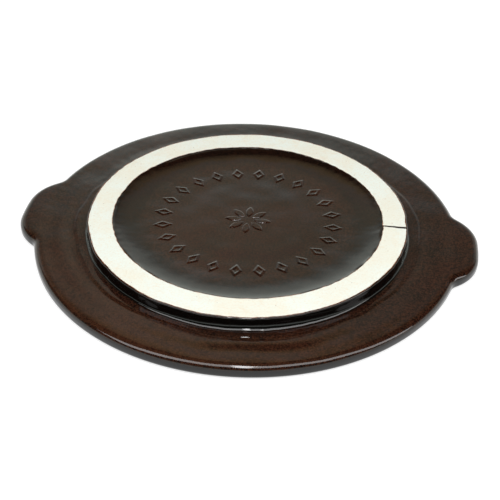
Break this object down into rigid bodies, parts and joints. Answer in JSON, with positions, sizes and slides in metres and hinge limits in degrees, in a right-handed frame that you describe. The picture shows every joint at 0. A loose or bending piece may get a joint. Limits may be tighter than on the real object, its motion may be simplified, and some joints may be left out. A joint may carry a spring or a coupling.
{
  "type": "stoneware crock cover",
  "caption": "Round glazed stoneware crock cover, lying underside up, with two lifting ears, a raised locating ring with a bare face, and a shallow dish inside the ring.",
  "frame": {"origin": "on the axis of the plate and the ring, in the plane that the cover lies on", "axes": "+Z is the plate's axis, pointing out of the underside that faces up here; +X points at one ear; in use the cover is turned over, so +Z points down into the crock"},
  "size_m": [0.3374, 0.311, 0.0194],
  "materials": {
    "dark_glaze": "glossy dark brown glaze",
    "bare_stoneware": "matt unglazed cream stoneware"
  },
  "bodies": {
    "root": {"glazed_cover": "dark_glaze", "bare_ring_face": "bare_stoneware"}
  },
  "joints": []
}
